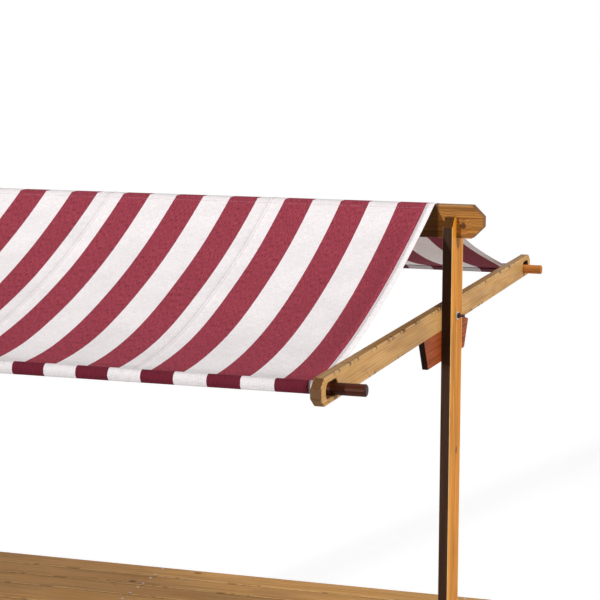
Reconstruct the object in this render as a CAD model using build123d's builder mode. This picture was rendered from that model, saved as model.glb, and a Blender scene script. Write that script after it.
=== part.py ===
"""A wooden market stall with a sagging striped canopy, in millimetres.

X runs along the ridge, -Y is the customers' side and Z is up from the ground.
The stall is the same at its left and right ends and at its front and rear.
"""
from build123d import *

import os
from math import cos, radians, sin

os.makedirs("parts", exist_ok=True)

# The cloth's stripes set the scale of the whole stall
stripe = 100
stripes = 24
side_hem = 23
canopy_width = stripes * stripe - 2 * side_hem
cloth = 3

# Upright planks with forked tops
post_thickness = 32
post_depth = 163
post_inner_x = 1220
post_edge_round = 2
fork_slot = 47
fork_top_below_ridge = 39
fork_bevel_depth = 30
fork_bevel_drop = 32

# Ridge plank, on edge in the forks
ridge_top = 2350
ridge_height = 111
ridge_length = 2684
ridge_end_chamfer = 38
ridge_corner_round = 8
ridge_edge_round = 2

# Arms, level boards on the inner faces of the posts
arm_top = 2013
arm_height = 80
arm_thickness = 32
arm_length = 2860
arm_end_run = 36
arm_end_fall = 25
arm_corner_round = 9
arm_edge_chamfer = 2.5
pole_inset = 130
arm_slot_drop = 2
arm_slot_height = 45
arm_slot_length = 108

# Loose round poles that carry the cloth's edges
pole_diameter = 35
pole_length = 2600
pole_end_chamfer = 3
front_pole_shift = 11
rear_pole_shift = -7

# Bracket boards under the arms
bracket_thickness = 20
bracket_height = 102
bracket_top_width = 630
bracket_bottom_width = 514
bracket_rear_drop = 10
bracket_rear_relief = 18
bracket_rear_run = 70
bracket_edge_round = 2

# One bolt through each arm and post
bolt_y = 8
bolt_diameter = 10
bolt_hole_diameter = 11
bolt_tail = 26
washer_diameter = 30
washer_thickness = 2.5
nut_width = 17
nut_sides = 6
nut_height = 8
bolt_head_height = 6.5

# Sag of each slope below its straight line, and how steeply its middle falls
slope_sag = 68
slope_angle = radians(16)

# Counter and its lower frame
counter_top = 850
board_thickness = 22
board_width = 115
board_gap = 8
side_boards = 3
board_length = 2590
board_edge_round = 3
middle_board_width = post_depth
bearer_thickness = 45
bearer_height = 95
bearer_length = 890
leg_width = 95
foot_rail_height = 70
foot_rail_bottom = 120
apron_thickness = 28
apron_inset = 25
stretcher_thickness = 45
frame_edge_round = 3

# Places worked out from the sizes above
post_mid_x = post_inner_x + post_thickness / 2
post_outer_x = post_inner_x + post_thickness
arm_mid_x = post_inner_x - arm_thickness / 2
arm_mid_z = arm_top - arm_height / 2
arm_bottom = arm_top - arm_height
arm_end_y = arm_length / 2
pole_y = arm_end_y - pole_inset
arm_slot_y = pole_y + (arm_slot_length - arm_slot_height) / 2
arm_slot_z = arm_mid_z - arm_slot_drop
pole_z = arm_slot_z - (arm_slot_height - pole_diameter) / 2
pole_radius = pole_diameter / 2
sleeve_radius = pole_radius + cloth
fork_top = ridge_top - fork_top_below_ridge
board_bottom = counter_top - board_thickness
bearer_bottom = board_bottom - bearer_height
bearer_mid_x = post_inner_x - bearer_thickness / 2
bearer_inner_x = post_inner_x - bearer_thickness
bracket_mid_x = post_inner_x - bracket_thickness / 2
bracket_bottom = arm_bottom - bracket_height
ends = (("left", -1), ("right", 1))
faces = (("front", -1), ("rear", 1))

# Posts: one plank each from the ground to the fork that holds the ridge plank
for end, side in ends:
    with BuildPart() as post:
        with BuildSketch(Plane.YZ.offset(side * post_mid_x)):
            with BuildLine():
                Polyline(
                    (-post_depth / 2, 0),
                    (post_depth / 2, 0),
                    (post_depth / 2, fork_top - fork_bevel_drop),
                    (post_depth / 2 - fork_bevel_depth, fork_top),
                    (fork_slot / 2, fork_top),
                    (fork_slot / 2, ridge_top - ridge_height),
                    (-fork_slot / 2, ridge_top - ridge_height),
                    (-fork_slot / 2, fork_top),
                    (-post_depth / 2 + fork_bevel_depth, fork_top),
                    (-post_depth / 2, fork_top - fork_bevel_drop),
                    close=True,
                )
            make_face()
            with Locations((bolt_y, arm_mid_z)):
                Circle(bolt_hole_diameter / 2, mode=Mode.SUBTRACT)
        extrude(amount=post_thickness / 2, both=True)
        outer_edges = post.edges().filter_by(Axis.Z).sort_by(SortBy.LENGTH)[-4:]
        fillet(outer_edges, radius=post_edge_round)
    post.part.label = f"{end}_post"
    export_step(post.part, f"parts/{end}_post.step")

# Ridge plank: on edge in both forks, with the corners of its ends cut off
with BuildPart() as ridge:
    with BuildSketch(Plane.XZ):
        with Locations((0, ridge_top - ridge_height / 2)):
            Rectangle(ridge_length, ridge_height)
        chamfer(vertices(), length=ridge_end_chamfer)
        fillet(vertices().group_by(Axis.Y)[0], radius=ridge_corner_round)
    extrude(amount=fork_slot / 2, both=True)
    long_edges = ridge.edges().filter_by(Axis.X).group_by(Axis.Z)[0]
    fillet(long_edges, radius=ridge_edge_round)
ridge.part.label = "ridge_plank"
export_step(ridge.part, "parts/ridge_plank.step")

# Arms: level boards with clipped ends, and a slot for each pole that reaches outwards
for end, side in ends:
    with BuildPart() as arm:
        with BuildSketch(Plane.YZ.offset(side * arm_mid_x)):
            with BuildLine():
                Polyline(
                    (-arm_end_y + arm_end_run, arm_top),
                    (arm_end_y - arm_end_run, arm_top),
                    (arm_end_y, arm_top - arm_end_fall),
                    (arm_end_y, arm_bottom + arm_end_fall),
                    (arm_end_y - arm_end_run, arm_bottom),
                    (-arm_end_y + arm_end_run, arm_bottom),
                    (-arm_end_y, arm_bottom + arm_end_fall),
                    (-arm_end_y, arm_top - arm_end_fall),
                    close=True,
                )
            make_face()
            fillet(vertices(), radius=arm_corner_round)
            with Locations((-arm_slot_y, arm_slot_z), (arm_slot_y, arm_slot_z)):
                SlotOverall(arm_slot_length, arm_slot_height, mode=Mode.SUBTRACT)
            with Locations((bolt_y, arm_mid_z)):
                Circle(bolt_hole_diameter / 2, mode=Mode.SUBTRACT)
        extrude(amount=arm_thickness / 2, both=True)
        chamfer(arm.edges().filter_by(Axis.Y), length=arm_edge_chamfer)
    arm.part.label = f"{end}_arm"
    export_step(arm.part, f"parts/{end}_arm.step")

# Bracket boards: tapered boards that the arms rest on, eased away at the rear
for end, side in ends:
    with BuildPart() as bracket:
        with BuildSketch(Plane.YZ.offset(side * bracket_mid_x)):
            with BuildLine():
                Polyline(
                    (-bracket_top_width / 2, arm_bottom),
                    (bracket_top_width / 2 - bracket_rear_run, arm_bottom),
                    (bracket_top_width / 2, arm_bottom - bracket_rear_relief),
                    (bracket_bottom_width / 2, bracket_bottom - bracket_rear_drop),
                    (-bracket_bottom_width / 2, bracket_bottom),
                    close=True,
                )
            make_face()
        extrude(amount=bracket_thickness / 2, both=True)
        lower_face = bracket.faces().sort_by(Axis.Z)[0]
        fillet(lower_face.edges().sort_by(SortBy.LENGTH)[-2:], radius=bracket_edge_round)
    bracket.part.label = f"{end}_bracket"
    export_step(bracket.part, f"parts/{end}_bracket.step")

# Bolts: the head bears on the arm, and a washer and nut draw up on the post
for end, side in ends:
    head_x = post_inner_x - arm_thickness
    outward = Plane(
        origin=(side * post_outer_x, bolt_y, arm_mid_z),
        x_dir=(0, 1, 0),
        z_dir=(side, 0, 0),
    )
    inward = Plane(
        origin=(side * head_x, bolt_y, arm_mid_z),
        x_dir=(0, 1, 0),
        z_dir=(-side, 0, 0),
    )
    with BuildPart() as bolt:
        with BuildSketch(inward):
            RegularPolygon(radius=nut_width / 2, side_count=nut_sides, major_radius=False)
        extrude(amount=bolt_head_height)
        with BuildSketch(inward):
            Circle(bolt_diameter / 2)
        extrude(amount=-(arm_thickness + post_thickness + bolt_tail))
        with BuildSketch(outward):
            Circle(washer_diameter / 2)
        extrude(amount=washer_thickness)
        with BuildSketch(outward.offset(washer_thickness)):
            RegularPolygon(radius=nut_width / 2, side_count=nut_sides, major_radius=False)
        extrude(amount=nut_height)
    bolt.part.label = f"{end}_bolt"
    export_step(bolt.part, f"parts/{end}_bolt.step")

# Poles: round and loose, each drawn to the inner end of its slots by the cloth
for (face, direction), shift in zip(faces, (front_pole_shift, rear_pole_shift)):
    with BuildPart() as pole:
        with BuildSketch(Plane.YZ.offset(shift)):
            with Locations((direction * pole_y, pole_z)):
                Circle(pole_radius)
        extrude(amount=pole_length / 2, both=True)
        chamfer(pole.edges().filter_by(GeomType.CIRCLE), length=pole_end_chamfer)
    pole.part.label = f"{face}_pole"
    export_step(pole.part, f"parts/{face}_pole.step")

# Canopy: each slope lies on the ridge plank, sags, and ends in a sleeve round its pole
for face, direction in faces:
    edge_y = fork_slot / 2
    end_y = pole_y - pole_radius
    end_z = pole_z - cloth / 2
    middle_y = (edge_y + end_y) / 2
    middle_z = (ridge_top + end_z) / 2 - slope_sag
    lift_y = cloth * sin(slope_angle)
    lift_z = cloth * cos(slope_angle)
    with BuildPart() as canopy:
        with BuildSketch(Plane.YZ):
            with BuildLine():
                Line((0, ridge_top + cloth), (0, ridge_top))
                Line((0, ridge_top), (direction * edge_y, ridge_top))
                ThreePointArc(
                    (direction * edge_y, ridge_top),
                    (direction * middle_y, middle_z),
                    (direction * end_y, end_z),
                )
                Line((direction * end_y, end_z), (direction * end_y, end_z + cloth))
                ThreePointArc(
                    (direction * end_y, end_z + cloth),
                    (direction * (middle_y + lift_y), middle_z + lift_z),
                    (direction * edge_y, ridge_top + cloth),
                )
                Line((direction * edge_y, ridge_top + cloth), (0, ridge_top + cloth))
            make_face()
            with Locations((direction * pole_y, pole_z)):
                Circle(sleeve_radius)
                Circle(pole_radius, mode=Mode.SUBTRACT)
        extrude(amount=canopy_width / 2, both=True)
    canopy.part.label = f"{face}_canopy"
    export_step(canopy.part, f"parts/{face}_canopy.step")

# Counter: the middle board ends at the posts, and the others run past them
with BuildPart() as middle_board:
    with BuildSketch(Plane.XY.offset(board_bottom)):
        Rectangle(2 * post_inner_x, middle_board_width)
    extrude(amount=board_thickness)
    fillet(middle_board.edges().filter_by(Axis.X), radius=board_edge_round)
middle_board.part.label = "counter_board_middle"
export_step(middle_board.part, "parts/counter_board_middle.step")

for face, direction in faces:
    for number in range(side_boards):
        inner_edge = middle_board_width / 2 + board_gap + number * (board_width + board_gap)
        board_y = direction * (inner_edge + board_width / 2)
        with BuildPart() as board:
            with BuildSketch(Plane.XY.offset(board_bottom)):
                with Locations((0, board_y)):
                    Rectangle(board_length, board_width)
            extrude(amount=board_thickness)
            fillet(board.edges().filter_by(Axis.X), radius=board_edge_round)
        board.part.label = f"counter_board_{face}_{number + 1}"
        export_step(board.part, f"parts/counter_board_{face}_{number + 1}.step")

# End frames: a bearer and a foot rail on each post, and a leg at each of their ends
for end, side in ends:
    with BuildPart() as bearer:
        with BuildSketch(Plane.YZ.offset(side * bearer_mid_x)):
            with Locations((0, bearer_bottom + bearer_height / 2)):
                Rectangle(bearer_length, bearer_height)
        extrude(amount=bearer_thickness / 2, both=True)
    bearer.part.label = f"{end}_bearer"
    export_step(bearer.part, f"parts/{end}_bearer.step")

    with BuildPart() as foot_rail:
        with BuildSketch(Plane.YZ.offset(side * bearer_mid_x)):
            with Locations((0, foot_rail_bottom + foot_rail_height / 2)):
                Rectangle(bearer_length, foot_rail_height)
        extrude(amount=bearer_thickness / 2, both=True)
        fillet(foot_rail.edges().filter_by(Axis.Y), radius=frame_edge_round)
    foot_rail.part.label = f"{end}_foot_rail"
    export_step(foot_rail.part, f"parts/{end}_foot_rail.step")

    for face, direction in faces:
        leg_y = direction * (bearer_length / 2 - leg_width / 2)
        with BuildPart() as leg:
            with BuildSketch(Plane.XY):
                with Locations((side * post_mid_x, leg_y)):
                    Rectangle(post_thickness, leg_width)
            extrude(amount=board_bottom)
            fillet(leg.edges().filter_by(Axis.Z), radius=frame_edge_round)
        leg.part.label = f"{face}_{end}_leg"
        export_step(leg.part, f"parts/{face}_{end}_leg.step")

# Aprons along the counter, a bearer between them, and one long rail near the ground
for face, direction in faces:
    apron_y = direction * (bearer_length / 2 - apron_inset - apron_thickness / 2)
    with BuildPart() as apron:
        with BuildSketch(Plane.XY.offset(bearer_bottom)):
            with Locations((0, apron_y)):
                Rectangle(2 * bearer_inner_x, apron_thickness)
        extrude(amount=bearer_height)
    apron.part.label = f"{face}_apron"
    export_step(apron.part, f"parts/{face}_apron.step")

with BuildPart() as middle_bearer:
    with BuildSketch(Plane.XY.offset(bearer_bottom)):
        Rectangle(bearer_thickness, bearer_length - 2 * (apron_inset + apron_thickness))
    extrude(amount=bearer_height)
middle_bearer.part.label = "middle_bearer"
export_step(middle_bearer.part, "parts/middle_bearer.step")

with BuildPart() as stretcher:
    with BuildSketch(Plane.XY.offset(foot_rail_bottom)):
        Rectangle(2 * bearer_inner_x, stretcher_thickness)
    extrude(amount=foot_rail_height)
stretcher.part.label = "stretcher"
export_step(stretcher.part, "parts/stretcher.step")
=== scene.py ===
"""The looks of a wooden market stall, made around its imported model.

Everything is in metres in the model's own frame: X runs along the ridge, -Y is the
customers' side and Z is up from the ground. The cloth and the fixings are new pieces,
and the timbers keep the model's own shapes and get their wood here.
"""

import logging
import math
from collections.abc import Callable, Sequence
from dataclasses import dataclass
from enum import Enum

import bmesh
import bpy
from mathutils import Matrix, Vector, noise

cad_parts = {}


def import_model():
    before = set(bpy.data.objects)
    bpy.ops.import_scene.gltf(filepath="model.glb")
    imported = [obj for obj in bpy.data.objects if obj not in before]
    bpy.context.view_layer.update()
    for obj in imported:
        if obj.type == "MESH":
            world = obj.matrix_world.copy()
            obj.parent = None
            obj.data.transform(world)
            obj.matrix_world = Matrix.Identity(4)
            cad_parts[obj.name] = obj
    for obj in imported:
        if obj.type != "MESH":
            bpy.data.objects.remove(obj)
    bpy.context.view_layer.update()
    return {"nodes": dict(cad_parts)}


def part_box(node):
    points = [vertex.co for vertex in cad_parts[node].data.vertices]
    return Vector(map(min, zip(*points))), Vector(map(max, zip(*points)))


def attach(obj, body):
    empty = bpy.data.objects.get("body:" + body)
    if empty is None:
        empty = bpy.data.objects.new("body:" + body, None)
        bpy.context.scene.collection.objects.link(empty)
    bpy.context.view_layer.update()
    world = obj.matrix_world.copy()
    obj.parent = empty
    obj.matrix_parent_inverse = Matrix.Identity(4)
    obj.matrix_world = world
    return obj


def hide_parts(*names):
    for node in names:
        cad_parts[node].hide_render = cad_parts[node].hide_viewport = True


Piece = bpy.types.Object
Material = bpy.types.Material
Tree = bpy.types.NodeTree
Socket = bpy.types.NodeSocket
Face = bmesh.types.BMFace
Triple = tuple[float, float, float]
Outline = list[tuple[float, float]]

BODY = "root"
LOG = logging.getLogger("market_stall")
# The stall's two ends, and the side of X that each is on
ENDS = (("left", -1), ("right", 1))
# The wave texture makes one ring or band in each 0.314 m at a scale of 1
WAVE_PERIOD = 0.314
# The colour sockets of a Mix node, whose names are also those of its other sockets
COLOUR_A, COLOUR_B, COLOUR_OUT = 6, 7, 2
# The least vertical part of the normal of a face that counts as level
LEVEL = 0.9


def mm(value: float) -> float:
    """Millimetres as metres."""
    return value / 1000


def linear(hex_colour: str) -> tuple[float, float, float, float]:
    """Turns an sRGB hex colour into linear light.

    Args:
        hex_colour: six hex digits, such as "963C50".

    Returns:
        Linear red, green and blue, and an alpha of 1.
    """
    channels = [int(hex_colour[i : i + 2], 16) / 255 for i in (0, 2, 4)]
    light = [c / 12.92 if c <= 0.04045 else ((c + 0.055) / 1.055) ** 2.4 for c in channels]
    return (*light, 1.0)


def add_node(
    tree: Tree, kind: str, inputs: dict | Sequence = (), **settings: object
) -> bpy.types.NodeOutputs:
    """Adds a shader node with its settings, its socket values and its links.

    Args:
        tree: the node tree that the node joins.
        kind: the node's type name.
        inputs: the values of its first sockets, or of sockets by name or number. An
            output socket as a value is linked.
        settings: the node's own properties.

    Returns:
        The new node's outputs.
    """
    made = tree.nodes.new(f"ShaderNode{kind}")
    for name, value in settings.items():
        setattr(made, name, value)
    for socket, value in inputs.items() if isinstance(inputs, dict) else enumerate(inputs):
        if isinstance(value, Socket):
            tree.links.new(value, made.inputs[socket])
        else:
            made.inputs[socket].default_value = value
    return made.outputs


def new_material(name: str) -> tuple[Material, Tree]:
    """Makes an empty node material.

    Args:
        name: the material's name.

    Returns:
        The material and its cleared node tree.
    """
    material = bpy.data.materials.new(name)
    material.use_nodes = True
    material.node_tree.nodes.clear()
    return material, material.node_tree


def dress(piece: Piece, material: Material) -> None:
    """Puts one material on the whole of a piece.

    Args:
        piece: the new piece or the model's node.
        material: what it gets.
    """
    if not piece.material_slots:
        piece.data.materials.append(material)
    for slot in piece.material_slots:
        slot.material = material


def deselect_all() -> None:
    """Leaves nothing selected, so that an operator acts on the new piece alone."""
    for other in bpy.context.selected_objects:
        other.select_set(False)


def take_up(piece: Piece) -> None:
    """Selects one piece alone and makes it the active one."""
    deselect_all()
    piece.select_set(True)
    bpy.context.view_layer.objects.active = piece


def middle_of(node: str) -> Vector:
    """The centre of a node's box."""
    low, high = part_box(node)
    return (low + high) / 2


def faces_up(face: Face) -> bool:
    """Whether a face looks up."""
    return face.normal.z > LEVEL


def is_level(face: Face) -> bool:
    """Whether a face looks up or down."""
    return abs(face.normal.z) > LEVEL


def start_round(
    sides: int, radius: float, low: float, high: float, wanted: Callable[[Face], bool]
) -> Piece:
    """Adds an upright round or prism to shape, with some of its faces selected.

    Args:
        sides: how many sides it has.
        radius: its radius to the corners.
        low: the height of its underside.
        high: the height of its top.
        wanted: the test that a face has to pass to be selected.

    Returns:
        The piece, which is left in edit mode.
    """
    deselect_all()
    bpy.ops.mesh.primitive_cylinder_add(
        vertices=sides, radius=radius, depth=high - low, location=(0, 0, (low + high) / 2)
    )
    piece = bpy.context.object
    bpy.ops.object.mode_set(mode="EDIT")
    mesh = bmesh.from_edit_mesh(piece.data)
    for part in (*mesh.verts, *mesh.edges, *mesh.faces):
        part.select = False
    for face in mesh.faces:
        face.select_set(wanted(face))
    mesh.select_flush_mode()
    bmesh.update_edit_mesh(piece.data)
    return piece


def grow_face(steps: Sequence[tuple[float, float]], start: float) -> None:
    """Extrudes the selected face upwards in steps, and widens or narrows it at each.

    Args:
        steps: the rise and the scale of each step.
        start: the height of the face before the first step.
    """
    height = start
    for rise, scale in steps:
        height += rise
        bpy.ops.mesh.extrude_region_move(TRANSFORM_OT_translate={"value": (0, 0, rise)})
        bpy.ops.transform.resize(value=(scale, scale, 1), center_override=(0, 0, height))


def leave_edit() -> None:
    """Ends the shaping of the piece in hand."""
    bpy.ops.object.mode_set(mode="OBJECT")


def set_on_side(place: Sequence[float], side: int) -> Matrix:
    """The place of a fixing that is modelled upright and sits on an upright face.

    Args:
        place: where it sits.
        side: 1 where it points to +X, and -1 where it points to -X.

    Returns:
        The matrix that turns it and moves it there.
    """
    turn = Vector((side, 0, 0)).to_track_quat("Z", "Y").to_matrix().to_4x4()
    return Matrix.Translation(place) @ turn


def join_copies(name: str, model: Piece, places: Sequence[Matrix]) -> Piece:
    """Copies one modelled shape to many places and joins the copies into one piece.

    Args:
        name: the joined piece's name.
        model: the shape, modelled round its own origin; it stays for further copies.
        places: one matrix for each copy.

    Returns:
        The joined piece, with its origin at the frame's origin.
    """
    joined = bmesh.new()
    for place in places:
        before = len(joined.verts)
        joined.from_mesh(model.data)
        joined.verts.ensure_lookup_table()
        for vertex in joined.verts[before:]:
            vertex.co = place @ vertex.co
    mesh = bpy.data.meshes.new(name)
    joined.normal_update()
    joined.to_mesh(mesh)
    joined.free()
    for material in model.data.materials:
        mesh.materials.append(material)
    piece = bpy.data.objects.new(name, mesh)
    bpy.context.scene.collection.objects.link(piece)
    return piece


class Grain(Enum):
    """The way a board's grain runs."""

    ALONG_X = "X"
    ALONG_Y = "Y"
    ALONG_Z = "Z"

    @property
    def along(self) -> int:
        """The axis number that the grain follows."""
        return "XYZ".index(self.value)

    @property
    def across(self) -> tuple[int, ...]:
        """The two axis numbers that cross the grain."""
        return tuple(axis for axis in range(3) if axis != self.along)


@dataclass(frozen=True)
class Board:
    """One board, as the nodes of its material see it.

    The seed moves the figure, so that no two boards match.
    """

    tree: Tree
    place: Socket
    from_middle: Socket
    half: Vector
    grain: Grain
    seed: int

    def lay(self, across: float, along: float, shifts: Triple) -> Socket:
        """Lays out a pattern that is drawn out along the grain.

        Args:
            across: the pattern's size across the grain.
            along: its size along the grain.
            shifts: how far the pattern moves from one seed to the next.

        Returns:
            The place, counted in the pattern's own sizes.
        """
        scale = [1 / across] * 3
        scale[self.grain.along] = 1 / along
        start = tuple(self.seed * shift for shift in shifts)
        laid = {"Vector": self.from_middle, "Location": start, "Scale": scale}
        return add_node(self.tree, "Mapping", laid)[0]


@dataclass(frozen=True)
class TimberFinish:
    """Sawn and planed softwood under a stain, as it shows on one kind of timber.

    Softwood has pale early wood and thin darker late wood in rings a few millimetres
    apart, fine fibres along the grain, knots that push the rings aside, arrises worn
    by handling and thirsty end grain. Strengths, stains and shades are shares of a
    colour, from 0 to 1. The top and hollow shades and the cloth's shadow are painted
    shade, and the front faces' darkening is a dark stain with painted shade. The
    fibres are drawn several times as wide as real ones, to show.
    """

    name: str
    pale: str
    dark: str
    stain: str
    worn: str
    ring_spacing: float = mm(7)
    ring_strength: float = 0.75
    ring_taper: float = 0.12
    late_wood: float = 2.2
    fibre_width: float = mm(6.06)
    fibre_length: float = mm(286)
    fibre_strength: float = 0.5
    mottle_width: float = mm(71.4)
    mottle_length: float = mm(385)
    mottle_strength: float = 0.3
    patch_size: float = mm(35.7)
    knot_spacing: float = mm(125)
    knot_spacing_along: float = mm(200)
    knot_push: float = mm(11)
    knot_strength: float = 0.85
    wear_width: float = mm(2.5)
    wear_strength: float = 0.55
    marks_strength: float = 0.0
    # Dark stain with painted shade on the faces that look to the front or rear
    front_stain_and_shade: float = 0.0
    # Painted shade on the faces that look up
    top_shade: float = 0.0
    end_stain: float = 0.75
    # Painted shade in the slots, within the inset from their rims
    hollow_shade: float = 0.0
    hollow_inset: float = mm(15.1)
    # Painted shadow of the cloth on the ridge plank, inward of this X
    painted_cloth_shadow: float = 0.0
    cloth_shadow_edge: float = mm(1190)
    relief: float = mm(0.5)
    specular: float = 0.2
    roughness: float = 0.58

    def material(
        self, node: str, grain: Grain, seed: int, knot: Triple | None = None
    ) -> Material:
        """Makes this finish for one board, with the figure of its own piece of tree.

        Args:
            node: the model's node, whose box places the rings and the worn arrises.
            grain: the way the board's grain runs.
            seed: a number that moves the figure, so that no two boards match.
            knot: the place of a knot that has to be there, besides the scattered ones.

        Returns:
            The board's material.
        """
        low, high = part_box(node)
        material, tree = new_material(f"{self.name}_{node}")
        place = add_node(tree, "TexCoord")["Object"]
        own = add_node(tree, "VectorMath", (place, (low + high) / 2), operation="SUBTRACT")[0]
        board = Board(tree, place, own, (high - low) / 2, grain, seed)
        knots = self._knots(board, knot)
        figure = self._figure(board, knots)
        fibres = self._fibres(board)
        shares = self._shares(board, knots, fibres)
        layers = [
            (self.dark, figure),
            (self.stain, shares["mottle"]),
            (self.dark, shares["streaks"]),
            (self.stain, shares["knot"]),
            (self.worn, shares["arris"]),
        ]
        # The end grain and the marks are real stains; the front faces take a dark stain with
        # painted shade, and the tops, the slots and the covered plank take painted shade
        stains_and_painted_shade = ("end", "marks", "front", "top", "hollow", "covered")
        layers += [(self.stain, shares[where]) for where in stains_and_painted_shade]
        shade = linear(self.pale)
        for colour, share in layers:
            mix = {"Factor": share, COLOUR_A: shade, COLOUR_B: linear(colour)}
            shade = add_node(tree, "Mix", mix, data_type="RGBA")[COLOUR_OUT]
        height = add_node(tree, "Math", (figure, fibres), operation="ADD")[0]
        rise = {"Strength": 0.4, "Distance": self.relief, "Height": height}
        # Bare and stained softwood has only a faint, broad sheen
        surface = {
            "Base Color": shade,
            "Roughness": shares["rough"],
            "Normal": add_node(tree, "Bump", rise)[0],
            "Specular IOR Level": self.specular,
        }
        add_node(tree, "OutputMaterial", add_node(tree, "BsdfPrincipled", surface))
        return material

    def _knots(self, board: Board, knot: Triple | None) -> Socket:
        """Scatters knots and adds the one that has to be there.

        Args:
            board: the board.
            knot: the place of that one, or none.

        Returns:
            The distance to the nearest knot's heart, as a share of their spacing.
        """
        tree = board.tree
        laid = board.lay(self.knot_spacing, self.knot_spacing_along, (0.37, 0.61, 0.23))
        knots = add_node(tree, "TexVoronoi", {"Vector": laid, "Scale": 1.0})["Distance"]
        if not knot:
            return knots
        away = add_node(tree, "VectorMath", (board.place, knot), operation="DISTANCE")["Value"]
        own = add_node(tree, "Math", (away, self.knot_spacing), operation="DIVIDE")[0]
        return add_node(tree, "Math", (knots, own), operation="MINIMUM")[0]

    def _figure(self, board: Board, knots: Socket) -> Socket:
        """Draws the growth rings, as cones round a pith that lies outside the board.

        Args:
            board: the board.
            knots: the distance to the nearest knot, which pushes the rings aside.

        Returns:
            How much late wood shows.
        """
        tree, grain, seed = board.tree, board.grain, board.seed
        near = (knots, 0.0, 0.26, self.knot_push, 0.0)
        push = add_node(tree, "MapRange", near, interpolation_type="SMOOTHSTEP")[0]
        pushed = add_node(tree, "VectorMath", (board.from_middle, push), operation="ADD")[0]
        # The pith is 40 to 84 mm off the board's middle one way, and 44 to 95 mm the other
        pith, stretch = [0.0] * 3, [1.0] * 3
        first, second = grain.across
        pith[first] = mm(40) + mm(11) * (seed % 5)
        pith[second] = mm(95) - mm(17) * (seed % 4)
        pith[grain.along] = 0.37 * seed
        stretch[grain.along] = self.ring_taper
        laid = {"Vector": pushed, "Location": pith, "Scale": stretch}
        wave = {
            "Vector": add_node(tree, "Mapping", laid)[0],
            "Scale": WAVE_PERIOD / self.ring_spacing,
            "Distortion": 5.0,
            "Detail": 2.0,
            "Detail Scale": 0.35,
        }
        form = {"wave_type": "RINGS", "rings_direction": grain.value, "wave_profile": "SAW"}
        rings = add_node(tree, "TexWave", wave, **form)["Fac"]
        late = add_node(tree, "Math", (rings, self.late_wood), operation="POWER")[0]
        return add_node(tree, "Math", (late, self.ring_strength), operation="MULTIPLY")[0]

    def _fibres(self, board: Board) -> Socket:
        """Streaks along the grain, from the fibre width down to a quarter of it."""
        laid = board.lay(self.fibre_width, self.fibre_length, (0.7, 1.3, 0.4))
        streaks = {"Vector": laid, "Scale": 1.0, "Detail": 3.0, "Roughness": 0.62}
        return add_node(board.tree, "TexNoise", streaks)["Fac"]

    def _shares(self, board: Board, knots: Socket, fibres: Socket) -> dict[str, Socket]:
        """Works out how much of each colour shows at a place.

        Args:
            board: the board.
            knots: the distance to the nearest knot.
            fibres: the streaks along the grain.

        Returns:
            The shares by the name of what puts the colour there, and the roughness.
        """
        tree, own, half = board.tree, board.from_middle, board.half
        size = add_node(tree, "VectorMath", [own], operation="ABSOLUTE")[0]
        inward = add_node(tree, "VectorMath", (half, size), operation="SUBTRACT")[0]
        depth = add_node(tree, "SeparateXYZ", [inward])
        out_x = add_node(tree, "SeparateXYZ", [size])["X"]
        across = [depth[axis] for axis in board.grain.across]
        reach = add_node(tree, "Math", across, operation="MAXIMUM")[0]
        laid = board.lay(self.mottle_width, self.mottle_length, (0.9, 0.3, 0.5))
        clouds = {"Vector": laid, "Scale": 1.0, "Detail": 4.0, "Distortion": 0.6}
        broad = add_node(tree, "TexNoise", clouds)["Fac"]
        spots = {"Vector": own, "Scale": 1 / self.patch_size, "Detail": 4.0}
        patches = add_node(tree, "TexNoise", spots)["Fac"]
        waver = (patches, -2.2 * self.wear_width, reach)
        uneven = add_node(tree, "Math", waver, operation="MULTIPLY_ADD")[0]
        normal = add_node(tree, "NewGeometry")["Normal"]
        upward = add_node(tree, "SeparateXYZ", [normal])["Z"]
        facing = add_node(tree, "VectorMath", [normal], operation="ABSOLUTE")[0]
        facing = add_node(tree, "SeparateXYZ", [facing])
        thin = min(range(3), key=lambda axis: half[axis])
        rims = [depth[axis] for axis in range(3) if axis != thin]
        inside = add_node(tree, "Math", rims, operation="MINIMUM")[0]
        hollow, covered = self.hollow_inset, self.cloth_shadow_edge
        # Each row is a value, where its step starts and stops, and the share at each
        rows = {
            "mottle": (broad, 0.4, 0.72, 0.0, self.mottle_strength),
            "streaks": (fibres, 0.42, 0.72, 0.0, self.fibre_strength),
            "knot": (knots, 0.06, 0.1, self.knot_strength, 0.0),
            "arris": (uneven, -self.wear_width, self.wear_width, self.wear_strength, 0.0),
            "end": (facing[board.grain.along], 0.35, 0.62, 0.0, self.end_stain),
            # Painted shade in the slots, on the edgeways faces within the inset
            "inside": (inside, hollow - mm(0.3), hollow + mm(0.3), 0.0, self.hollow_shade),
            "edgeways": (facing[thin], 0.4, 0.7, 1.0, 0.0),
            # Painted shadow of the cloth, inward of the covered X
            "covered": (out_x, covered - mm(6), covered + mm(6), self.painted_cloth_shadow, 0.0),
            "near": (reach, mm(2), mm(14), 1.0, 0.0),
            "spots": (patches, 0.53, 0.64, 0.0, self.marks_strength),
            # Dark stain with painted shade on the faces that look to the front or rear
            "front": (facing["Y"], 0.5, 0.9, 0.0, self.front_stain_and_shade),
            # Painted shade on the faces that look up
            "top": (upward, 0.5, 0.9, 0.0, self.top_shade),
            "rough": (fibres, 0.3, 0.7, self.roughness - 0.08, self.roughness + 0.12),
        }
        shares = {}
        for name, row in rows.items():
            step = add_node(tree, "MapRange", row, interpolation_type="SMOOTHSTEP")
            shares[name] = step[0]
        for name, one, other in (("marks", "near", "spots"), ("hollow", "inside", "edgeways")):
            both = (shares[one], shares[other])
            shares[name] = add_node(tree, "Math", both, operation="MULTIPLY")[0]
        return shares


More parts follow.
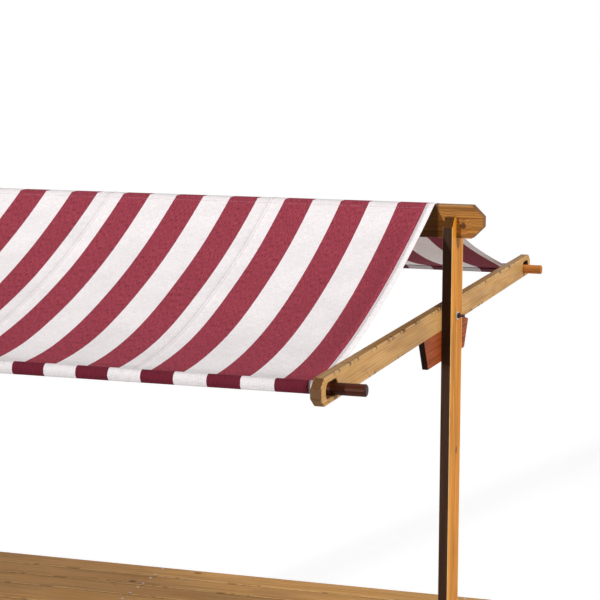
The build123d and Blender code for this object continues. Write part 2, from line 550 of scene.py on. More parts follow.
# Planed pine, hardly stained: pale and dry, with dirt in its edges and ends, and painted shade in
# its slots and on its tops
ARM_PINE = TimberFinish(
    name="planed_pine", pale="C6985A", dark="93612A", stain="46230B", worn="DDBA84",
    ring_strength=0.5, fibre_strength=0.4, mottle_strength=0.34, marks_strength=0.9,
    top_shade=0.4, end_stain=0.88, hollow_shade=0.8,
)
# Oiled pine: warm orange sides, bright worn arrises, and front faces made nearly black by a dark
# stain with painted shade
POST_PINE = TimberFinish(
    name="oiled_pine", pale="DE932C", dark="8F490A", stain="200B04", worn="F7CE8C",
    fibre_strength=0.7, wear_width=mm(4), wear_strength=0.85, front_stain_and_shade=0.975, specular=0.12,
)
# Weathered pine: a dull ochre and patchy, with the cloth's shadow painted dark where the cloth
# covers it
RIDGE_PINE = TimberFinish(
    name="weathered_pine", pale="B27730", dark="683C10", stain="381A08", worn="DFB07A",
    fibre_strength=0.75, mottle_strength=0.55, marks_strength=0.6, end_stain=0.45,
    painted_cloth_shadow=0.8, specular=0.15,
)
# Stained cedar: red-brown and close-grained, with front edges made nearly black by a dark stain
# with painted shade
BRACKET_CEDAR = TimberFinish(
    name="cedar", pale="9C4718", dark="5F2508", stain="1A0703", worn="B0602F",
    fibre_strength=0.65, mottle_strength=0.35, front_stain_and_shade=0.96, specular=0.1,
)
# Dark hardwood, turned and handled: deep brown, and smoother than the softwood
FRONT_POLE_HARDWOOD = TimberFinish(
    name="dark_hardwood", pale="4E200B", dark="240F06", stain="150703", worn="4E200B",
    ring_spacing=mm(11), wear_strength=0.0, mottle_strength=0.75, specular=0.12, roughness=0.42,
)
# Turned pine: fresh and bright orange, with an even grain
REAR_POLE_PINE = TimberFinish(
    name="turned_pine", pale="EA9C4E", dark="B86422", stain="6B2D0C", worn="EA9C4E",
    wear_strength=0.0, mottle_strength=0.25, end_stain=0.3,
)
# Planed pine under a thin stain: plain honey-brown framing
FRAME_PINE = TimberFinish(
    name="frame_pine", pale="CC964C", dark="A3692A", stain="563010", worn="E3BE84",
    mottle_strength=0.25, marks_strength=0.4,
)
# Planed pine boards, a little paler where goods and hands have rubbed them
COUNTER_PINE = TimberFinish(
    name="counter_pine", pale="D0A05C", dark="A87232", stain="5C3818", worn="E6C690",
    marks_strength=0.5,
)


@dataclass
class Timbers:
    """The stall's boards, planks and poles, which keep the model's own shapes."""

    knot_inset: float = mm(67)
    knot_drop: float = mm(68)

    def dress(self, nodes: dict[str, Piece]) -> None:
        """Gives every timber its finish.

        Args:
            nodes: the model's nodes by name.
        """
        low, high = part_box("ridge_plank")
        knots = {"ridge_plank": (high.x - self.knot_inset, low.y, high.z - self.knot_drop)}
        plan = (
            (("left_post", "right_post"), POST_PINE, Grain.ALONG_Z),
            (("ridge_plank",), RIDGE_PINE, Grain.ALONG_X),
            (("left_arm", "right_arm"), ARM_PINE, Grain.ALONG_Y),
            (("left_bracket", "right_bracket"), BRACKET_CEDAR, Grain.ALONG_Y),
            (("front_pole",), FRONT_POLE_HARDWOOD, Grain.ALONG_X),
            (("rear_pole",), REAR_POLE_PINE, Grain.ALONG_X),
            (self._named(nodes, "counter_board"), COUNTER_PINE, Grain.ALONG_X),
            (self._named(nodes, "apron"), FRAME_PINE, Grain.ALONG_X),
            (("stretcher",), FRAME_PINE, Grain.ALONG_X),
            (self._named(nodes, "bearer"), FRAME_PINE, Grain.ALONG_Y),
            (self._named(nodes, "foot_rail"), FRAME_PINE, Grain.ALONG_Y),
            (self._named(nodes, "leg"), FRAME_PINE, Grain.ALONG_Z),
        )
        timbers = [(name, finish, grain) for names, finish, grain in plan for name in names]
        for seed, (name, finish, grain) in enumerate(timbers, start=1):
            dress(nodes[name], finish.material(name, grain, seed, knots.get(name)))
            LOG.info("timber %s", name)

    def _named(self, nodes: dict[str, Piece], word: str) -> tuple[str, ...]:
        """The names of the nodes that hold a word, in order."""
        return tuple(sorted(name for name in nodes if word in name))


@dataclass(frozen=True)
class StripedCanvas:
    """Cotton duck awning canvas, yarn-dyed in equal stripes and woven plain.

    It is matt, a little fuzzy, and its threads show as a fine grid up close. The sleeves
    and the underside take a deeper wine as painted shade.
    """

    name: str = "striped_cotton_duck"
    wine: str = "A2414F"
    deep_wine: str = "65182A"
    white: str = "F4EDEE"
    stripe: float = mm(100)
    edge_softness: float = mm(0.8)
    edge_ripple: float = mm(11.1)
    sleeve_edge: float = mm(3)
    thread_spacing: float = mm(2.4)
    slub_width: float = mm(2.38)
    slub_length: float = mm(22.2)
    bloom_size: float = mm(143)
    relief: float = mm(0.4)

    def material(self, length: float, sleeve: float) -> Material:
        """Makes the canvas, with its stripes placed by X from the middle of the roof.

        Args:
            length: the cloth's length with both sleeves.
            sleeve: how much of it is in each sleeve, where painted shade deepens the cloth.

        Returns:
            The canvas's material.
        """
        material, tree = new_material(self.name)
        cloth = add_node(tree, "UVMap", uv_map="cloth")[0]
        threads = self._threads(tree, cloth)
        shares = self._shares(tree, cloth, threads, length, sleeve)
        dye = linear(self.wine)
        # The sleeves and the underside take the deep wine as painted shade, and the dye row gives
        # uneven thread tone
        for name in ("front_sleeve", "rear_sleeve", "underside", "dye"):
            mix = {"Factor": shares[name], COLOUR_A: dye, COLOUR_B: linear(self.deep_wine)}
            dye = add_node(tree, "Mix", mix, data_type="RGBA")[COLOUR_OUT]
        mix = {"Factor": self._wine(tree, cloth), COLOUR_A: linear(self.white), COLOUR_B: dye}
        colour = add_node(tree, "Mix", mix, data_type="RGBA")[COLOUR_OUT]
        # The front and rear factors dim the sleeves as painted shade; the others are weave and
        # tone
        for name in ("weave", "warp", "weft", "faded", "front_painted_shade", "rear_painted_shade"):
            toned = {0: colour, "Scale": shares[name]}
            colour = add_node(tree, "VectorMath", toned, operation="SCALE")[0]
        rise = {"Strength": 0.4, "Distance": self.relief, "Height": threads}
        surface = {
            "Base Color": colour,
            "Roughness": 0.92,
            "Specular IOR Level": 0.15,
            "Normal": add_node(tree, "Bump", rise)[0],
        }
        add_node(tree, "OutputMaterial", add_node(tree, "BsdfPrincipled", surface))
        return material

    def _wine(self, tree: Tree, cloth: Socket) -> Socket:
        """Draws the stripes, with edges that follow the threads.

        Args:
            tree: the material's node tree.
            cloth: the place on the flat cloth.

        Returns:
            1 in a wine stripe and 0 in a white one.
        """
        across = add_node(tree, "SeparateXYZ", [add_node(tree, "TexCoord")["Object"]])["X"]
        ripple = {"Vector": cloth, "Scale": 1 / self.edge_ripple, "Detail": 2.0}
        ripple = add_node(tree, "TexNoise", ripple)["Fac"]
        wander = (ripple, 2 * self.edge_softness, across)
        wander = add_node(tree, "Math", wander, operation="MULTIPLY_ADD")[0]
        fold = add_node(tree, "Math", (wander, self.stripe), operation="PINGPONG")[0]
        start = (self.stripe - self.edge_softness) / 2
        return add_node(tree, "MapRange", (fold, start, start + self.edge_softness))[0]

    def _threads(self, tree: Tree, cloth: Socket) -> Socket:
        """Draws a plain weave, at three times the real thread spacing so that it shows.

        Args:
            tree: the material's node tree.
            cloth: the place on the flat cloth.

        Returns:
            The height of the weave, from 0 to 1.
        """
        pitch = WAVE_PERIOD / self.thread_spacing
        wave = {"Vector": cloth, "Scale": pitch, "Distortion": 0.6, "Detail Scale": 2.0}
        crossed = [add_node(tree, "TexWave", wave, bands_direction=way)["Fac"] for way in "XY"]
        return add_node(tree, "Math", crossed, operation="MAXIMUM")[0]

    def _shares(
        self, tree: Tree, cloth: Socket, threads: Socket, length: float, sleeve: float
    ) -> dict[str, Socket]:
        """Works out how deep the dye and the painted shade are at a place, and how light the
        cloth.

        Args:
            tree: the material's node tree.
            cloth: the place on the flat cloth.
            threads: the height of the weave.
            length: the cloth's length with both sleeves.
            sleeve: how much of it is in each sleeve.

        Returns:
            Shares of the deep wine, as dye and as painted shade, and factors of lightness, by
            name.
        """
        along = add_node(tree, "SeparateXYZ", [cloth])["Y"]
        from_end = add_node(tree, "Math", (along, length), operation="PINGPONG")[0]
        bloom = {"Vector": cloth, "Scale": 1 / self.bloom_size, "Detail": 4.0}
        bloom = add_node(tree, "TexNoise", bloom)["Fac"]
        # Thick and thin threads each way, drawn about 2.5 mm wide so that they show
        slubs = []
        for size in ((self.slub_width, self.slub_length), (self.slub_length, self.slub_width)):
            laid = {"Vector": cloth, "Scale": (1 / size[0], 1 / size[1], 1.0)}
            laid = {"Vector": add_node(tree, "Mapping", laid)[0], "Scale": 1.0, "Detail": 1.0}
            slubs.append(add_node(tree, "TexNoise", laid)["Fac"])
        warp, weft = slubs
        downward = add_node(tree, "SeparateXYZ", [add_node(tree, "NewGeometry")["Normal"]])["Z"]
        front = (from_end, sleeve - self.sleeve_edge, sleeve)
        rear = (from_end, length - sleeve, length - sleeve + self.sleeve_edge)
        # Each row is a value, where its step starts and stops, and the result at each
        rows = {
            # The sleeves and the underside take the deep wine as painted shade
            "front_sleeve": (*front, 0.85, 0.0),
            "rear_sleeve": (*rear, 0.0, 0.85),
            "underside": (downward, -0.4, -0.2, 0.6, 0.0),
            "dye": (warp, 0.44, 0.64, 0.0, 0.6),
            "weave": (threads, 0.0, 1.0, 0.9, 1.02),
            "warp": (warp, 0.3, 0.7, 1.07, 0.92),
            "weft": (weft, 0.3, 0.7, 0.92, 1.07),
            "faded": (bloom, 0.3, 0.7, 0.95, 1.04),
            # The sleeves are dimmed as painted shade
            "front_painted_shade": (*front, 0.8, 1.0),
            "rear_painted_shade": (*rear, 1.0, 0.6),
        }
        return {name: add_node(tree, "MapRange", row)[0] for name, row in rows.items()}


@dataclass(frozen=True)
class SewingThread:
    """Bonded polyester thread: dusty rose, smooth and faintly glossy."""

    name: str = "polyester_thread"
    colour: str = "A98790"
    twist: float = mm(1.11)

    def material(self) -> Material:
        """Makes the thread, with a twist that shows as fine bands.

        Returns:
            The thread's material.
        """
        material, tree = new_material(self.name)
        place = add_node(tree, "TexCoord")["Object"]
        twist = {"Vector": place, "Scale": 1 / self.twist, "Detail": 1.0}
        twist = add_node(tree, "TexNoise", twist)["Fac"]
        tone = add_node(tree, "MapRange", {0: twist, 3: 0.8, 4: 1.0})[0]
        toned = {0: linear(self.colour)[:3], "Scale": tone}
        colour = add_node(tree, "VectorMath", toned, operation="SCALE")[0]
        surface = {"Base Color": colour, "Roughness": 0.55}
        add_node(tree, "OutputMaterial", add_node(tree, "BsdfPrincipled", surface))
        return material


@dataclass(frozen=True)
class Hang:
    """How a strip of the cloth hangs: its sag, and how far the sag leans to the pole."""

    sag: float
    lean: float

    def drop(self, t: float) -> float:
        """How far the strip hangs below its straight line; t is 0 at the ridge, 1 at the pole."""
        return 4 * self.sag * t * (1 - t) + 8 * self.lean * t * (1 - t) * (t - 0.5)


@dataclass
class Canopy:
    """One sheet of canvas over the ridge plank, with a stitched sleeve round each pole.

    Where a field has two values, they are for the front slope and the rear one.
    """

    half_width: float = mm(1177)
    thickness: float = mm(1.4)
    middle_hang: tuple[Hang, Hang] = (Hang(mm(73), mm(10)), Hang(mm(60), mm(-12)))
    side_hang: tuple[Hang, Hang] = (Hang(mm(48), mm(4)), Hang(mm(39), mm(-25)))
    side_start: tuple[float, float] = (mm(1055), mm(975))
    side_stop: tuple[float, float] = (mm(1165), mm(1125))
    pull: float = mm(7)
    crease: float = mm(1.8)
    seam_draw: float = mm(4)
    seam_spacing: float = mm(600)
    seam_half_width: float = mm(7)
    side_hem: float = mm(22)
    doubled_lift: float = mm(0.8)
    sleeve_length: float = mm(55)
    sleeve_allowance: float = mm(16)
    sleeve_rise: float = mm(5)
    pole_gap: float = mm(0.3)
    column_spacing: float = mm(24)
    slope_steps: int = 54
    wrap_steps: int = 22
    stitch_pitch: float = mm(7)
    stitch_length: float = mm(4.76)
    stitch_radius: float = mm(0.5)
    seam_stitches: float = mm(5.25)
    hem_stitches: float = mm(19)

    def __post_init__(self) -> None:
        """Reads the places of the ridge plank and the poles from the model."""
        low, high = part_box("ridge_plank")
        self.ridge_z = high.z + self.thickness / 2
        self.ridge_y = high.y
        self.poles = {}
        for side, node in ((-1, "front_pole"), (1, "rear_pole")):
            low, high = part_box(node)
            self.poles[side] = ((low + high) / 2, (high.z - low.z) / 2)
        self.seams = [i * self.seam_spacing for i in (-1, 0, 1)]
        front, rear = self.half_profile(-1), self.half_profile(1)
        self.profile = front[::-1] + rear
        self.length = self.run(self.profile)
        self.in_sleeve = self.run(front[self.slope_steps + 1 :]) + mm(2)

    def run(self, points: Outline) -> float:
        """The length of a line of points."""
        return sum(math.hypot(y1 - y0, z1 - z0) for (y0, z0), (y1, z1) in zip(points, points[1:]))

    def half_profile(self, side: int) -> Outline:
        """Draws one slope, then its sleeve over the pole, round it and back to the stitches.

        Args:
            side: -1 for the front half, 1 for the rear one.

        Returns:
            Points as Y and Z, from the ridge outwards.
        """
        axis, pole_radius = self.poles[side]
        stitches_y, stitches_z = axis.y - side * self.sleeve_length, axis.z + self.sleeve_rise
        points = []
        for step in range(self.slope_steps + 1):
            t = step / self.slope_steps
            y = self.ridge_y + (abs(stitches_y) - self.ridge_y) * t
            drop = self.middle_hang[side > 0].drop(t)
            points.append((side * y, self.ridge_z + (stitches_z - self.ridge_z) * t - drop))
        radius = pole_radius + self.thickness / 2 + self.pole_gap
        touch = math.acos(radius / self.sleeve_length)
        for step in range(self.wrap_steps + 1):
            angle = touch + (2 * math.pi - 2 * touch) * step / self.wrap_steps
            y = axis.y - side * radius * math.cos(angle)
            points.append((y, axis.z + radius * math.sin(angle)))
        # The turned-in edge lies just under the slope, and droops a little
        under = stitches_z - 1.3 * self.thickness
        points.append((stitches_y, under))
        points.append((stitches_y - side * self.sleeve_allowance, under + mm(1)))
        return points

    def columns(self) -> list[float]:
        """Spaces the lines of the mesh, with extra ones at seams and hems.

        Returns:
            The X of each line.
        """
        count = round(2 * self.half_width / self.column_spacing)
        found = {-self.half_width + 2 * self.half_width * i / count for i in range(count + 1)}
        for seam in self.seams:
            found |= {seam + step * self.seam_half_width for step in (-1.6, -1.0, 1.0, 1.6)}
        for side in (-1, 1):
            for inset in (self.side_hem, self.side_hem + mm(2)):
                found.add(side * (self.half_width - inset))
        return sorted({round(x, 5) for x in found})

    def lift(self, x: float) -> float:
        """Finds how far the cloth stands proud where it is sewn double.

        Args:
            x: the place along the ridge.

        Returns:
            The rise, or 0 where the cloth is single.
        """
        doubled = abs(x) > self.half_width - self.side_hem - mm(0.5)
        doubled = doubled or any(abs(x - s) < 1.1 * self.seam_half_width for s in self.seams)
        return self.doubled_lift if doubled else 0.0

    def ease(self, x: float, t: float, rear: bool) -> float:
        """Finds how far the tight side hems hold the cloth above its full sag.

        Args:
            x: the place along the ridge.
            t: the place down the slope, from 0 to 1.
            rear: whether the slope is the rear one.

        Returns:
            The rise of the cloth in Z.
        """
        if t > 1:
            return 0.0
        start, stop = self.side_start[rear], self.side_stop[rear]
        share = min(max((abs(x) - start) / (stop - start), 0.0), 1.0)
        smooth = share * share * (3 - 2 * share)
        return smooth * (self.middle_hang[rear].drop(t) - self.side_hang[rear].drop(t))

    def billow(self, x: float, t: float) -> float:
        """Finds the small unevenness of hung cloth, none at the ridge and the poles.

        Args:
            x: the place along the ridge.
            t: the place down the slope, from 0 to 1.

        Returns:
            How far the cloth lies above its mean surface.
        """
        held = math.sin(math.pi * t) ** 0.8 if 0 < t < 1 else 0.0
        between = abs(math.sin(math.pi * x / self.seam_spacing))
        # Broad pulls about 0.6 m across, and slanting creases about 0.15 m across
        pull = noise.noise(Vector((x * 1.7, t * 2.2, 0.3))) * self.pull
        crease = noise.noise(Vector((x * 7.0 + 3 * t, t * 3.5, 4.1))) * self.crease
        return held * (pull + crease - self.seam_draw * between)

    def spot(self, points: Outline, x: float, row: int) -> tuple[Vector, Vector, float]:
        """Finds one place of the cloth before its lift and billow.

        Args:
            points: the profile, or as much of it at each side of the ridge.
            x: the place along the ridge.
            row: the number of the point.

        Returns:
            The place, the way the cloth faces there, and the place down the slope.
        """
        y, z = points[row]
        y0, z0 = points[max(row - 1, 0)]
        y1, z1 = points[min(row + 1, len(points) - 1)]
        out = Vector((0, z0 - z1, y1 - y0)).normalized()
        middle = len(points) // 2
        t = abs(row - middle + (0.5 if row < middle else 0)) / self.slope_steps
        return Vector((x, y, z + self.ease(x, t, row >= middle))), out, t

    def build(self) -> Piece:
        """Makes the cloth as one mesh with a UV map in metres.

        Returns:
            The finished cloth, with its thickness.
        """
        columns = self.columns()
        walls = len(self.profile)
        vertices = []
        for x in columns:
            for row in range(walls):
                place, out, t = self.spot(self.profile, x, row)
                push = self.lift(x) * (1 if t <= 1 else 0.5) + self.billow(x, t)
                vertices.append(place + out * push)
        corners = (0, walls, walls + 1, 1)
        faces = [
            [column * walls + row + corner for corner in corners]
            for column in range(len(columns) - 1)
            for row in range(walls - 1)
        ]
        mesh = bpy.data.meshes.new("canopy")
        mesh.from_pydata(vertices, [], faces)
        flat = mesh.uv_layers.new(name="cloth")
        lengths = [self.run(self.profile[: row + 1]) for row in range(walls)]
        for loop in mesh.loops:
            column, row = divmod(loop.vertex_index, walls)
            flat.data[loop.index].uv = (columns[column], lengths[row])
        piece = bpy.data.objects.new("canopy", mesh)
        bpy.context.scene.collection.objects.link(piece)
        take_up(piece)
        bpy.ops.object.shade_smooth()
        thicken = piece.modifiers.new("thickness", "SOLIDIFY")
        thicken.thickness = self.thickness
        thicken.offset = 0
        bpy.ops.object.modifier_apply(modifier=thicken.name)
        return piece

    def stitch_lines(self) -> list[list[tuple[Vector, Vector]]]:
        """Lays out every row of stitches, down the slopes and then along the ridge.

        Returns:
            Lines of places on the cloth, each with the way that the cloth faces.
        """
        skipped = self.wrap_steps + 3
        slopes = self.profile[skipped:-skipped]
        rows = range(len(slopes))
        edges = [seam + side * self.seam_stitches for seam in self.seams for side in (-1, 1)]
        edges += [side * (self.half_width - self.hem_stitches) for side in (-1, 1)]
        reach = int(self.half_width / self.column_spacing)
        across = [i * self.column_spacing for i in range(-reach, reach + 1)]
        level_rows = (self.slope_steps - 1, self.slope_steps + 2, rows[0], rows[-1])
        lines = [[(x, row) for row in rows] for x in edges]
        lines += [[(x, row) for x in across] for row in level_rows]
        found = []
        for line in lines:
            sewn = []
            for x, row in line:
                place, out, t = self.spot(slopes, x, row)
                push = self.lift(x) + self.billow(x, t) + self.thickness / 2
                sewn.append((place + out * push, out))
            found.append(sewn)
        return found

    def sew(self) -> Piece:
        """Makes every stitch as a short raised loop of thread.

        Returns:
            All the stitches as one piece.
        """
        half = self.stitch_length / 2
        stitch = start_round(5, self.stitch_radius, -half, half, is_level)
        bpy.ops.mesh.inset(thickness=mm(0.4), depth=-mm(0.6))
        leave_edit()
        places = []
        for line in self.stitch_lines():
            spare = 0.0
            for (start, out), (stop, _) in zip(line, line[1:]):
                run = stop - start
                along = run.normalized()
                turn = Matrix((out.cross(along), out, along)).transposed().to_4x4()
                reach = spare
                while reach < run.length:
                    places.append(Matrix.Translation(start + along * reach) @ turn)
                    reach += self.stitch_pitch
                spare = reach - run.length
        stitches = join_copies("canopy_stitches", stitch, places)
        bpy.data.objects.remove(stitch)
        return stitches

    def make(self) -> list[Piece]:
        """Returns:
            The two pieces.
        """
        cloth = self.build()
        stitches = self.sew()
        dress(cloth, StripedCanvas().material(self.length, self.in_sleeve))
        dress(stitches, SewingThread().material())
        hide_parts("front_canopy", "rear_canopy")
        for piece in (cloth, stitches):
            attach(piece, BODY)
        return [cloth, stitches]


class Steel(Enum):
    """The two ways the steel is finished, with its name, colour and roughness."""

    ZINC = ("zinc_plated_steel", "C3CAD3", 0.3)
    OXIDE = ("black_oxide_steel", "4A4440", 0.48)

    def material(self) -> Material:
        """Makes the steel: soft metal shine broken by handling marks and a brown film.

        Returns:
            The steel's material.
        """
        mark_size, film, film_share = mm(3.33), "5A4636", 0.25
        name, colour, roughness = self.value
        material, tree = new_material(name)
        place = add_node(tree, "TexCoord")["Object"]
        marks = {"Vector": place, "Scale": 1 / mark_size, "Detail": 4.0}
        marks = add_node(tree, "TexNoise", marks)["Fac"]
        rough = {0: marks, 3: roughness - 0.1, 4: roughness + 0.25}
        rough = add_node(tree, "MapRange", rough)[0]
        tint = linear(film)
        for share, blend in ((marks, "MULTIPLY"), (film_share, "MIX")):
            mix = {"Factor": share, COLOUR_A: linear(colour), COLOUR_B: tint}
            tint = add_node(tree, "Mix", mix, data_type="RGBA", blend_type=blend)[COLOUR_OUT]
        surface = {"Base Color": tint, "Metallic": 1.0, "Roughness": rough}
        add_node(tree, "OutputMaterial", add_node(tree, "BsdfPrincipled", surface))
        return material


@dataclass
class ArmBolts:
    """The bolt at each end: a dark bolt and nut, and a bright washer on the post."""

    across_flats: float = mm(17)
    head_height: float = mm(6.5)
    nut_height: float = mm(8)
    washer_radius: float = mm(15)
    washer_thickness: float = mm(2.5)
    shank_radius: float = mm(5)
    tail: float = mm(26)
    tip: float = mm(0.5)
    thread_pitch: float = mm(1.75)
    thread_depth: float = mm(0.7)
    edge_round: float = mm(0.8)

    def _eased(self, sides: int, radius: float, low: float, high: float, cuts: int) -> Piece:
        """Makes a flat block, the washer, the nut or the head, with its rims eased.

        Args:
            sides: how many sides it has.
            radius: its radius to the corners.
            low: the height of its underside.
            high: the height of its top.
            cuts: the segments of an eased rim.

        Returns:
            The block.
        """
        # The washer lies flat on the post, so only its upper rim is eased
        rimmed = faces_up if low == 0 else is_level
        block = start_round(sides, radius, low, high, rimmed)
        bpy.ops.mesh.bevel(offset=self.edge_round, segments=cuts, affect="EDGES")
        leave_edit()
        return block

    def _thread(self, start: float) -> Piece:
        """Makes the bolt's threaded end, with a ridge for each turn and an eased tip.

        Args:
            start: the height of the nut's top.

        Returns:
            The threaded end.
        """
        pitch, core = self.thread_pitch, self.shank_radius - self.thread_depth
        narrow = core / self.shank_radius
        turns = int((self.tail - start - 2 * pitch) / pitch)
        thread = start_round(24, core, start, start + pitch, faces_up)
        grow_face([(pitch / 2, 1 / narrow), (pitch / 2, narrow)] * turns, start + pitch)
        done = start + pitch + turns * pitch
        grow_face([(self.tail - done - self.tip, 1.0), (self.tip, 0.86)], done)
        leave_edit()
        return thread

    def make(self) -> list[Piece]:
        """Makes one bolt and sets a copy of it at each end, in place of the plain solids.

        Returns:
            The two bolts.
        """
        near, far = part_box("right_arm")[0].x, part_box("right_post")[1].x
        nut_stop = self.washer_thickness + self.nut_height
        corner = self.across_flats / 2 / math.cos(math.pi / 6)
        washer = self._eased(40, self.washer_radius, 0, self.washer_thickness, 3)
        blocks = [
            self._eased(6, corner, self.washer_thickness, nut_stop, 2),
            self._eased(6, corner, near - far - self.head_height, near - far, 2),
            self._thread(nut_stop),
        ]
        dress(washer, Steel.ZINC.material())
        oxide = Steel.OXIDE.material()
        take_up(washer)
        for block in blocks:
            dress(block, oxide)
            block.select_set(True)
        bpy.ops.object.join()
        bpy.ops.object.transform_apply(location=True, rotation=True, scale=True)
        bpy.ops.object.shade_smooth_by_angle(angle=math.radians(35))
        pieces = []
        for end, side in ENDS:
            middle = middle_of(f"{end}_bolt")
            place = set_on_side((side * far, middle.y, middle.z), side)
            piece = join_copies(f"{end}_arm_bolt", washer, [place])
            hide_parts(f"{end}_bolt")
            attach(piece, BODY)
            pieces.append(piece)
        bpy.data.objects.remove(washer)
        return pieces


@dataclass
class Fixings:
    """Screws in the counter and the brackets, and coach bolts through the lower frame."""

    screw_radius: float = mm(4.8)
    screw_sink: float = mm(1.5)
    screw_proud: float = mm(0.3)
    rim_width: float = mm(0.5)
    rim_fall: float = mm(0.15)
    recess_inset: float = mm(2)
    recess_depth: float = mm(1.2)
    coach_radius: float = mm(12)
    coach_rim: float = mm(1.5)
    screw_half_gap: float = mm(36)
    bracket_half_gap: float = mm(46)
    bracket_rise: float = mm(24)
    coach_half_gap: float = mm(22)
    coach_half_rise: float = mm(14)

    def _screw(self) -> Piece:
        """Makes a countersunk screw's head with its round drive recess.

        Returns:
            The head, with the timber's face at its origin.
        """
        screw = start_round(16, self.screw_radius, -self.screw_sink, self.screw_proud, faces_up)
        bpy.ops.mesh.inset(thickness=self.rim_width, depth=self.rim_fall)
        bpy.ops.mesh.inset(thickness=self.recess_inset)
        grow_face([(-self.recess_depth, 0.85)], self.screw_proud + self.rim_fall)
        leave_edit()
        return screw

    def _coach_head(self) -> Piece:
        """Makes a coach bolt's low domed head.

        Returns:
            The head, with the timber's face at its origin.
        """
        head = start_round(24, self.coach_radius, 0, self.coach_rim, faces_up)
        dome = ((1.5, 0.93), (1.2, 0.86), (0.9, 0.78), (0.6, 0.62), (0.3, 0.4))
        grow_face([(mm(rise), scale) for rise, scale in dome], self.coach_rim)
        leave_edit()
        return head

    def _counter_places(self) -> list[Matrix]:
        """Places two screws in each counter board over each bearer.

        Returns:
            A matrix for each screw.
        """
        places = []
        lines = [middle_of(f"{where}_bearer").x for where in ("left", "middle", "right")]
        boards = ["middle", *(f"{face}_{n}" for face in ("front", "rear") for n in (1, 2, 3))]
        for board in boards:
            node = f"counter_board_{board}"
            middle, top = middle_of(node).y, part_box(node)[1].z
            for x in lines:
                for step in (-1, 1):
                    y = middle + step * self.screw_half_gap
                    places.append(Matrix.Translation((x, y, top)))
        return places

    def _bracket_places(self) -> list[Matrix]:
        """Places four screws through each bracket board into its post.

        Returns:
            A matrix for each screw.
        """
        places = []
        for end, side in ENDS:
            node = f"{end}_bracket"
            x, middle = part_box(node)[side < 0].x, middle_of(node).z
            for across in (-1, 1):
                for up in (-1, 1):
                    spot = (x, across * self.bracket_half_gap, middle + up * self.bracket_rise)
                    places.append(set_on_side(spot, -side))
        return places

    def _frame_places(self) -> list[Matrix]:
        """Places coach bolts through the posts and legs into the bearers and foot rails.

        Returns:
            A matrix for each coach bolt.
        """
        places = []
        for end, side in ENDS:
            for rail in (f"{end}_bearer", f"{end}_foot_rail"):
                middle = middle_of(rail).z
                for upright in (f"{end}_post", f"front_{end}_leg", f"rear_{end}_leg"):
                    x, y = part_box(upright)[side > 0].x, middle_of(upright).y
                    for step in (-1, 1):
                        gap, rise = step * self.coach_half_gap, step * self.coach_half_rise
                        places.append(set_on_side((x, y + gap, middle + rise), side))
        return places

    def make(self) -> list[Piece]:
        """Returns:
            The three pieces.
        """
        zinc = Steel.ZINC.material()
        screw, head = self._screw(), self._coach_head()
        plan = (
            ("counter_screws", screw, self._counter_places()),
            ("bracket_screws", screw, self._bracket_places()),
            ("frame_coach_bolts", head, self._frame_places()),
        )
        for model in (screw, head):
            dress(model, zinc)
            take_up(model)
            bpy.ops.object.transform_apply(location=True, rotation=True, scale=True)
            bpy.ops.object.shade_smooth_by_angle(angle=math.radians(40))
        pieces = []
        for name, model, places in plan:
            piece = join_copies(name, model, places)
            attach(piece, BODY)
            pieces.append(piece)
        for model in (screw, head):
            bpy.data.objects.remove(model)
        return pieces


@dataclass(frozen=True)
class Sun:
    """One distant lamp."""

    name: str
    comes_from: Triple
    strength: float
    width: float

    def make(self) -> None:
        """Adds the lamp, turned to shine from its side."""
        deselect_all()
        bpy.ops.object.light_add(type="SUN")
        lamp = bpy.context.object
        lamp.name = self.name
        lamp.data.energy = self.strength
        lamp.data.angle = self.width
        lamp.rotation_mode = "QUATERNION"
        lamp.rotation_quaternion = Vector(self.comes_from).to_track_quat("Z", "Y")


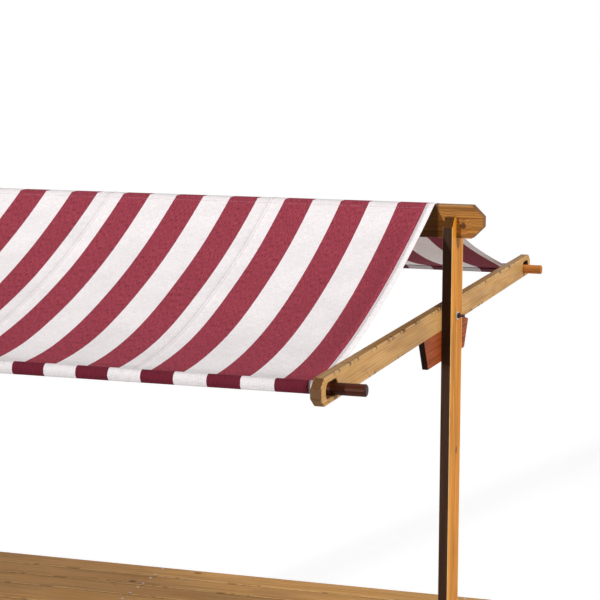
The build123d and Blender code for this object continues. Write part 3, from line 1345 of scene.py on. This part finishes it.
@dataclass
class Studio:
    """The pale floor, the soft light and the camera at the photograph's angle."""

    camera_place: Triple = (2.7154, -6.2244, 2.9903)
    yaw: float = math.radians(17.975)
    pitch: float = math.radians(-8.606)
    roll: float = math.radians(0.142)
    lens_mm: float = 114.67
    sensor_mm: float = 36.0
    view_reach: float = 300.0
    suns: tuple[Sun, ...] = (
        Sun("front_light", (-0.28, -0.95, 0.10), 2.1, math.radians(2.5)),
        Sun("side_light", (0.80, -0.12, 0.59), 2.75, math.radians(16)),
    )
    sky: float = 0.2
    floor_size: float = 120.0
    floor_colour: str = "E2E2E2"
    floor_glow: float = 0.22
    white: str = "FFFFFF"

    def make(self) -> None:
        """Makes the floor, the world, the lamps and the camera."""
        self._floor()
        self._world()
        for sun in self.suns:
            sun.make()
        self._camera()

    def _floor(self) -> None:
        """A pale floor that shows white to the camera and keeps the stall's shadow."""
        deselect_all()
        bpy.ops.mesh.primitive_plane_add(size=self.floor_size, location=(0, 0, 0))
        floor = bpy.context.object
        floor.name = "floor"
        material, tree = new_material("pale_floor")
        matt = {"Base Color": linear(self.floor_colour), "Roughness": 0.9}
        matt = add_node(tree, "BsdfPrincipled", matt)[0]
        bright = add_node(tree, "BsdfDiffuse", [linear(self.white)])[0]
        glow = add_node(tree, "Emission", (linear(self.white), self.floor_glow))[0]
        lit = add_node(tree, "AddShader", (bright, glow))[0]
        shown = add_node(tree, "MixShader", (self._seen(tree), matt, lit))
        add_node(tree, "OutputMaterial", shown)
        dress(floor, material)

    def _seen(self, tree: Tree) -> Socket:
        """Tells what the camera sees straight, in a gloss or through glass.

        Args:
            tree: the floor's or the world's node tree.

        Returns:
            1 where it does, and 0 for other light.
        """
        path = add_node(tree, "LightPath")
        seen = path["Is Camera Ray"]
        for ray in ("Is Glossy Ray", "Is Transmission Ray"):
            seen = add_node(tree, "Math", (seen, path[ray]), operation="MAXIMUM")[0]
        return seen

    def _world(self) -> None:
        """An even soft sky that shows white behind the stall."""
        world = bpy.data.worlds.new("soft_studio")
        world.use_nodes = True
        tree = world.node_tree
        tree.nodes.clear()
        white = linear(self.white)
        soft, full = (add_node(tree, "Background", (white, s))[0] for s in (self.sky, 1.0))
        shown = add_node(tree, "MixShader", (self._seen(tree), soft, full))
        add_node(tree, "OutputWorld", shown)
        bpy.context.scene.world = world

    def _camera(self) -> None:
        """The camera, placed and turned as the photograph's was worked out to be."""
        level = math.cos(self.pitch)
        ahead = (-math.sin(self.yaw) * level, math.cos(self.yaw) * level, math.sin(self.pitch))
        ahead = Vector(ahead)
        right = Vector((math.cos(self.yaw), math.sin(self.yaw), 0))
        up = right.cross(ahead)
        turned_right = math.cos(self.roll) * right + math.sin(self.roll) * up
        turned_up = math.cos(self.roll) * up - math.sin(self.roll) * right
        deselect_all()
        bpy.ops.object.camera_add(location=self.camera_place)
        camera = bpy.context.object
        camera.name = "camera"
        camera.rotation_mode = "QUATERNION"
        turn = Matrix((turned_right, turned_up, -ahead)).transposed()
        camera.rotation_quaternion = turn.to_quaternion()
        camera.data.lens = self.lens_mm
        camera.data.sensor_width = self.sensor_mm
        camera.data.clip_end = self.view_reach
        bpy.context.scene.camera = camera
        bpy.context.scene.view_settings.view_transform = "Standard"


def main() -> None:
    """Loads the frame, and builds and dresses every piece."""
    logging.basicConfig(level=logging.INFO)
    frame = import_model()
    Studio().make()
    Timbers().dress(frame["nodes"])
    for part in (Canopy(), ArmBolts(), Fixings()):
        for piece in part.make():
            LOG.info("%s %s", type(part).__name__, piece.name)


if __name__ == "__main__":
    main()
